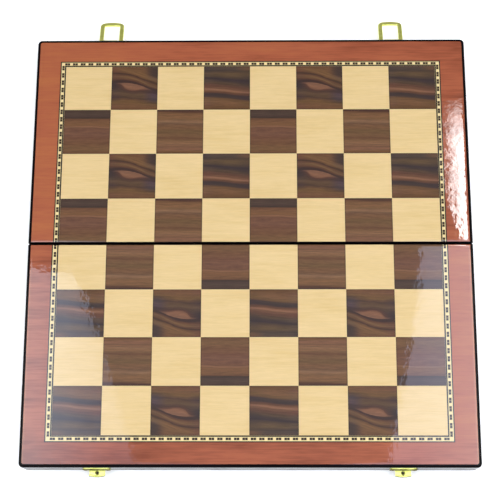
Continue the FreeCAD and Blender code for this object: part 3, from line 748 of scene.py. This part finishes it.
def set_fasteners(node, half, fastener, finish, seats, axis, turn):
    """One mesh of fasteners on their seats, given in the half's own level frame in millimetres."""
    piece = make_piece(node + "_set", [Vector(seat) * MM for seat in seats], [])
    repeat = piece.modifiers.new("fasteners", "NODES")
    repeat.node_group = rows_tree
    repeat[sockets["Fastener"]] = fastener
    repeat[sockets["Finish"]] = finish
    repeat[sockets["Axis"]] = axis
    repeat[sockets["Turn"]] = turn
    settle(piece)
    piece.data.transform(place[half])
    smooth_with_creases(piece, 40.0)
    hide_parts(node)
    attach(piece, half + "_half")
    return piece


rim = 0.15
hinge_x, screw_pitch, screw_line = 95.0, 11.0, (2.0 + 0.25 + 7.4) / 2
screw_profile = [
    (0.0, 0.0),
    (1.45, 0.0),
    (1.85, 0.02),
    (1.9, 0.08),
    (1.0, 0.82),
    (0.98, 7.0),
    (0.0, 8.0),
]
screw = revolved("hinge_screw", [(radius * MM, (height) * MM) for radius, height in screw_profile], 36)
slot_cutter = bmesh.new()
bmesh.ops.create_cube(slot_cutter, size=1.0)
bmesh.ops.scale(slot_cutter, vec=(5.0 * MM, 0.5 * MM, 0.8 * MM), verts=slot_cutter.verts)
cutter_mesh = bpy.data.meshes.new("slot_cutter")
slot_cutter.to_mesh(cutter_mesh)
slot_cutter.free()
cutter = bpy.data.objects.new("slot_cutter", cutter_mesh)
bpy.context.scene.collection.objects.link(cutter)
cut = screw.modifiers.new("slot", "BOOLEAN")
cut.operation = "DIFFERENCE"
cut.solver = "EXACT"
cut.object = cutter
settle(screw)
bpy.data.objects.remove(cutter)
for half in ("far", "near"):
    seats = []
    for side in (-1, 1):
        for index in (-1, 0, 1):
            seats.append((side * hinge_x + index * screw_pitch, screw_line, rim))
    set_fasteners(
        half + "_hinge_screws", half, screw, drawn_brass, seats, (0, 0, 1), math.pi
    )
bpy.data.objects.remove(screw)


# Draw latches: on the far wall, each a nailed base plate with two ears, a folded lever that turns on a peened
# pin, and a stamped loop that hangs from the lever. All are polished and brass-plated.
for side in ("left", "right"):
    finished_copy("latch_base_" + side, "far_half", plated_brass, rounding=0.00012, steps=2)
    finished_copy("latch_lever_" + side, "lever_" + side, plated_brass, rounding=0.00015, steps=2)
    finished_copy("lever_pin_" + side, "far_half", drawn_brass, rounding=0.0002, steps=2)
    finished_copy("latch_bail_" + side, "bail_" + side, plated_brass, crease=40.0)


# Keepers: a plate on the near wall with a hook bent out of its lower edge, over which the loop is drawn.
# Stamped from the brass-plated sheet of the latches. Painted shade: the plate's face, the outer edge of the lip and a
# ring round the hook's hole are mottled near-black and dull, for the shade and dark reflections there.
latch_x, hook_width, hook_reach, hook_bow = 100.0, 10.4, 5.3, 0.6
keeper_brass_with_painted_shade = rolled_brass("polished_brass_plate_with_painted_shade", "E4E478", "F6F494", 0.28, 0.42)
tree = keeper_brass_with_painted_shade.node_tree
shader = tree.nodes["Principled BSDF"]
level = place["near"].inverted()
turned = {"Location": level.to_translation(), "Rotation": level.to_euler()}
turned = add(tree, "ShaderNodeMapping", {"Vector": add(tree, "ShaderNodeTexCoord").outputs["Object"], **turned})
axes = add(tree, "ShaderNodeSeparateXYZ", {0: turned})
beside = add(tree, "ShaderNodeMath", {0: axes.outputs["X"]}, operation="ABSOLUTE")
beside = add(tree, "ShaderNodeMath", {0: beside, 1: latch_x * MM}, operation="SUBTRACT")
flat_place = add(tree, "ShaderNodeCombineXYZ", {0: beside, 1: axes.outputs["Y"]})
lip_radius = ((hook_width / 2) ** 2 + hook_bow**2) / (2 * hook_bow)
lip_centre = (0.0, (half_depth + hook_reach - lip_radius) * MM, 0.0)
hole_centre = (0.0, (half_depth + 2.5) * MM, 0.0)
from_lip = add(tree, "ShaderNodeVectorMath", {0: flat_place, 1: lip_centre}, operation="DISTANCE").outputs["Value"]
from_hole = add(tree, "ShaderNodeVectorMath", {0: flat_place, 1: hole_centre}, operation="DISTANCE").outputs["Value"]
# Painted shade mask: the lip's outer edge, a ring round the hole and the face of the plate
on_lip = add(tree, "ShaderNodeMath", {0: from_lip, 1: (lip_radius - 0.4) * MM}, operation="GREATER_THAN")
by_hole = add(tree, "ShaderNodeMath", {0: from_hole, 1: 1.45 * MM}, operation="LESS_THAN")
off_wall = add(tree, "ShaderNodeMath", {0: axes.outputs["Y"], 1: (half_depth + 0.4) * MM}, operation="SUBTRACT")
off_wall = add(tree, "ShaderNodeMath", {0: off_wall, 1: 0.3 * MM}, operation="SUBTRACT")
off_wall = add(tree, "ShaderNodeMath", {0: off_wall}, operation="ABSOLUTE")
on_plate = add(tree, "ShaderNodeMath", {0: off_wall, 1: 0.3 * MM}, operation="LESS_THAN")
painted_shade_mask = add(tree, "ShaderNodeMath", {0: on_lip, 1: by_hole}, operation="MAXIMUM")
painted_shade_mask = add(tree, "ShaderNodeMath", {0: painted_shade_mask, 1: on_plate}, operation="MAXIMUM")
noise = add(tree, "ShaderNodeTexNoise", {"Vector": turned, "Scale": 1 / 0.0025, "Detail": 4.0})
shade_mottle = {"Value": noise, "From Min": 0.3, "From Max": 0.6, "To Min": 0.5, "To Max": 0.95}
shade_mottle = add(tree, "ShaderNodeMapRange", shade_mottle)
painted_shade_mask = add(tree, "ShaderNodeMath", {0: painted_shade_mask, 1: shade_mottle}, operation="MULTIPLY")
# Painted shade: a near-black colour and a dull roughness replace the brass where the mask is
for socket, dull in (("Base Color", linear("38320C")), ("Roughness", 0.6)):
    bright = shader.inputs[socket].links[0].from_socket
    is_colour = socket == "Base Color"
    kinds = {"Factor": painted_shade_mask, 6: bright, 7: dull} if is_colour else {0: painted_shade_mask, 2: bright, 3: dull}
    mixed = add(tree, "ShaderNodeMix", kinds, data_type="RGBA" if is_colour else "FLOAT")
    tree.links.new(mixed.outputs[2 if is_colour else 0], shader.inputs[socket])
for side in ("left", "right"):
    finished_copy("keeper_" + side, "near_half", keeper_brass_with_painted_shade, rounding=0.00012, steps=2)


# Painted shade in the hooks: a nearly black plug fills the small hole that the stamping leaves in each hook, so
# that the hole shows dark, as shade, and not the floor below it. It has a dull, crumbly surface a little below the
# brass.
def painted_shade_plug():
    material = bpy.data.materials.new("painted_shade_plug")
    material.use_nodes = True
    tree = material.node_tree
    shader = tree.nodes["Principled BSDF"]
    where = add(tree, "ShaderNodeTexCoord").outputs["Object"]
    plug_mottle = add(tree, "ShaderNodeTexNoise", {"Vector": where, "Scale": 1 / 0.0004, "Detail": 4.0})
    colour = add(tree, "ShaderNodeValToRGB", {"Fac": plug_mottle})
    colour.color_ramp.elements[0].color = linear("17150A")
    colour.color_ramp.elements[1].color = linear("3A3618")
    tree.links.new(colour.outputs["Color"], shader.inputs["Base Color"])
    bump = add(tree, "ShaderNodeBump", {"Height": plug_mottle, "Strength": 0.8, "Distance": 0.0001})
    tree.links.new(bump.outputs[0], shader.inputs["Normal"])
    shader.inputs["Roughness"].default_value = 0.8
    return material


# Painted shade: a near-black plug is put into each hook's hole, where there is only shade
shade_plug_finish = painted_shade_plug()
shade_plug_profile = [(0.0, 0.3), (0.45, 0.27), (0.8, 0.17), (0.87, 0.06), (0.87, -0.2), (0.5, -0.3), (0.0, -0.32)]
for side, sign in (("left", -1), ("right", 1)):
    plug = revolved("keeper_paste_" + side, [(radius * MM, height * MM) for radius, height in shade_plug_profile], 24)
    plug.data.transform(place["near"] @ Matrix.Translation(Vector((sign * latch_x, half_depth + 2.5, 8.5)) * MM))
    smooth_with_creases(plug, 50.0)
    plug.data.materials.append(shade_plug_finish)
    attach(plug, "near_half")


# Nails: brass escutcheon pins with low domed heads, which hold the latches and keepers to the walls.
nail_profile = [(0.0, 0.45)]
for step in range(1, 7):
    lean = math.radians(90 * step / 6)
    nail_profile.append((1.2 * math.sin(lean), 0.45 * math.cos(lean)))
nail_profile += [(1.15, -0.0), (0.6, 0.0), (0.6, -5.4), (0.0, -6.0)]
nail = revolved("round_head_nail", [(radius * MM, height * MM) for radius, height in nail_profile], 28)
nail.data.transform(Matrix.Rotation(-math.pi / 2, 4, "X"))
base_seats = [(side * latch_x, half_depth + 0.8, height) for side in (-1, 1) for height in (9.6, 15.2)]
keeper_nail_x = (17.7 + 10.4) / 4
keeper_seats = [
    (side * latch_x + end * keeper_nail_x, half_depth + 0.9, 12.6) for side in (-1, 1) for end in (-1, 1)
]
# Painted reflection: the nails' brass has a dark tone, standing for the dark wall and surroundings that their domed
# heads mirror
nail_brass_painted_dark = rolled_brass("brass_nail_darkened_for_reflection", "5E5424", "8A7C3A", 0.3, 0.5)
for node, half, seats in (("latch_nails", "far", base_seats), ("keeper_nails", "near", keeper_seats)):
    set_fasteners(node, half, nail, nail_brass_painted_dark, seats, (0, 1, 0), math.pi)
bpy.data.objects.remove(nail)
